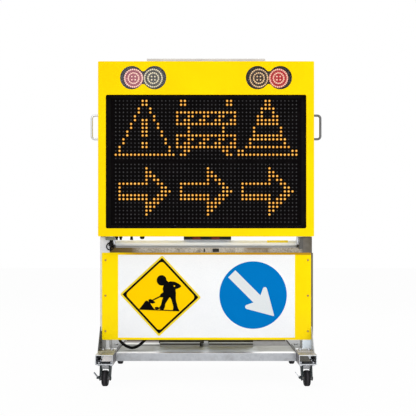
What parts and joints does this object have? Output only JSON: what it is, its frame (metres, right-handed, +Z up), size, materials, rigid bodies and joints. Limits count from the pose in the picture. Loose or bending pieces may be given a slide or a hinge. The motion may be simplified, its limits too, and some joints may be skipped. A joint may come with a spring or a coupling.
{
  "type": "variable message sign",
  "caption": "Trolley-mounted LED message sign: fold-back display box with warning lamps over a traffic sign board, on a wheeled base with batteries and braked casters.",
  "frame": {"origin": "on the floor, under the middle of the whole sign's plan", "axes": "+X to the reader's right, -Y towards the reader, +Z up"},
  "size_m": [1.194, 0.76, 1.6718],
  "materials": {
    "frame_steel": "galvanised",
    "zinc_steel": "zinc plated",
    "yellow_paint": "powder coat, satin",
    "white_film": "reflective sheet",
    "warning_film": "printed reflective sheet",
    "blue_film": "printed reflective sheet",
    "black_plastic": "matt",
    "module_face": "matt black with round LEDs",
    "clear_cover": "clear",
    "lamp_lens": "clear LEDs on a dark plate",
    "bright_aluminium": "anodised",
    "case_plastic": "moulded grey",
    "battery_plastic": "moulded black",
    "circuit": "solder mask",
    "pad_rubber": "moulded",
    "tyre_rubber": "solid tread",
    "hub_plastic": "moulded",
    "cable_rubber": "sheathed",
    "control_paint": "dark grey",
    "red_plastic": "moulded red",
    "black_steel": "black"
  },
  "bodies": {
    "chassis": {"rail_left": "frame_steel", "rail_right": "frame_steel", "front_beam": "frame_steel", "rear_beam": "frame_steel", "battery_tray": "frame_steel", "battery_tubs": "case_plastic", "battery_lids": "case_plastic", "batteries": "battery_plastic", "post_left": "frame_steel", "post_right": "frame_steel", "post_gussets": "frame_steel", "upper_beam": "frame_steel", "pivot_bushes": "black_plastic", "rest_pads": "pad_rubber", "frame_bolts": "zinc_steel", "caster_plates": "zinc_steel", "sign_board": "yellow_paint", "white_sheet": "white_film", "roadworks_sign": "warning_film", "direction_sign": "blue_film", "board_screws": "zinc_steel", "plunger_guide": "black_steel", "cable_glands": "black_plastic", "power_cable": "cable_rubber"},
    "display": {"front_shell": "yellow_paint", "window_bezel": "black_plastic", "led_modules": "module_face", "module_bars": "bright_aluminium", "rear_panel": "yellow_paint", "display_screws": "zinc_steel", "power_supply": "bright_aluminium", "driver_board": "circuit", "lamp_housings": "black_plastic", "lamp_covers": "clear_cover", "warning_lamps": "lamp_lens", "grip_handles": "zinc_steel", "top_rail": "bright_aluminium", "bottom_fittings": "black_plastic", "pivot_tube": "bright_aluminium", "hinge_arms": "zinc_steel", "control_box": "control_paint", "control_cover": "control_paint", "socket_caps": "red_plastic"},
    "lock_plunger": {"lock_plunger": "black_steel"},
    "rocker_left": {"rocker_left": "black_plastic"},
    "rocker_right": {"rocker_right": "black_plastic"},
    "caster_front_left": {"fork_front_left": "zinc_steel"},
    "wheel_front_left": {"tyre_front_left": "tyre_rubber", "hub_front_left": "hub_plastic"},
    "brake_front_left": {"brake_pedal_front_left": "black_steel"},
    "caster_front_right": {"fork_front_right": "zinc_steel"},
    "wheel_front_right": {"tyre_front_right": "tyre_rubber", "hub_front_right": "hub_plastic"},
    "brake_front_right": {"brake_pedal_front_right": "black_steel"},
    "caster_rear_left": {"fork_rear_left": "zinc_steel"},
    "wheel_rear_left": {"tyre_rear_left": "tyre_rubber", "hub_rear_left": "hub_plastic"},
    "caster_rear_right": {"fork_rear_right": "zinc_steel"},
    "wheel_rear_right": {"tyre_rear_right": "tyre_rubber", "hub_rear_right": "hub_plastic"}
  },
  "joints": [
    {"name": "display_fold", "type": "hinge", "parent": "chassis", "child": "display", "pos_m": [0, -0.14, 0.714], "axis": [-1, 0, 0], "range_deg": [0, 90]},
    {"name": "lock_slide", "type": "slide", "parent": "chassis", "child": "lock_plunger", "axis": [0, 0, 1], "range_m": [0, 0.01]},
    {"name": "rocker_left_press", "type": "hinge", "parent": "display", "child": "rocker_left", "pos_m": [-0.0375, -0.1005, 0.893], "axis": [-1, 0, 0], "range_deg": [0, 20]},
    {"name": "rocker_right_press", "type": "hinge", "parent": "display", "child": "rocker_right", "pos_m": [0.0525, -0.1005, 0.893], "axis": [-1, 0, 0], "range_deg": [0, 20]},
    {"name": "swivel_front_left", "type": "hinge", "parent": "chassis", "child": "caster_front_left", "pos_m": [-0.507, -0.305, 0.1], "axis": [0, 0, 1], "continuous": true},
    {"name": "roll_front_left", "type": "hinge", "parent": "caster_front_left", "child": "wheel_front_left", "pos_m": [-0.507, -0.335, 0.04], "axis": [1, 0, 0], "continuous": true},
    {"name": "brake_front_left_press", "type": "hinge", "parent": "caster_front_left", "child": "brake_front_left", "pos_m": [-0.5445, -0.335, 0.044], "axis": [0, -1, 0], "range_deg": [0, 30]},
    {"name": "swivel_front_right", "type": "hinge", "parent": "chassis", "child": "caster_front_right", "pos_m": [0.507, -0.305, 0.1], "axis": [0, 0, 1], "continuous": true},
    {"name": "roll_front_right", "type": "hinge", "parent": "caster_front_right", "child": "wheel_front_right", "pos_m": [0.507, -0.335, 0.04], "axis": [1, 0, 0], "continuous": true},
    {"name": "brake_front_right_press", "type": "hinge", "parent": "caster_front_right", "child": "brake_front_right", "pos_m": [0.4695, -0.335, 0.044], "axis": [0, -1, 0], "range_deg": [0, 30]},
    {"name": "swivel_rear_left", "type": "hinge", "parent": "chassis", "child": "caster_rear_left", "pos_m": [-0.507, 0.305, 0.1], "axis": [0, 0, 1], "continuous": true},
    {"name": "roll_rear_left", "type": "hinge", "parent": "caster_rear_left", "child": "wheel_rear_left", "pos_m": [-0.507, 0.335, 0.04], "axis": [1, 0, 0], "continuous": true},
    {"name": "swivel_rear_right", "type": "hinge", "parent": "chassis", "child": "caster_rear_right", "pos_m": [0.507, 0.305, 0.1], "axis": [0, 0, 1], "continuous": true},
    {"name": "roll_rear_right", "type": "hinge", "parent": "caster_rear_right", "child": "wheel_rear_right", "pos_m": [0.507, 0.335, 0.04], "axis": [1, 0, 0], "continuous": true}
  ]
}
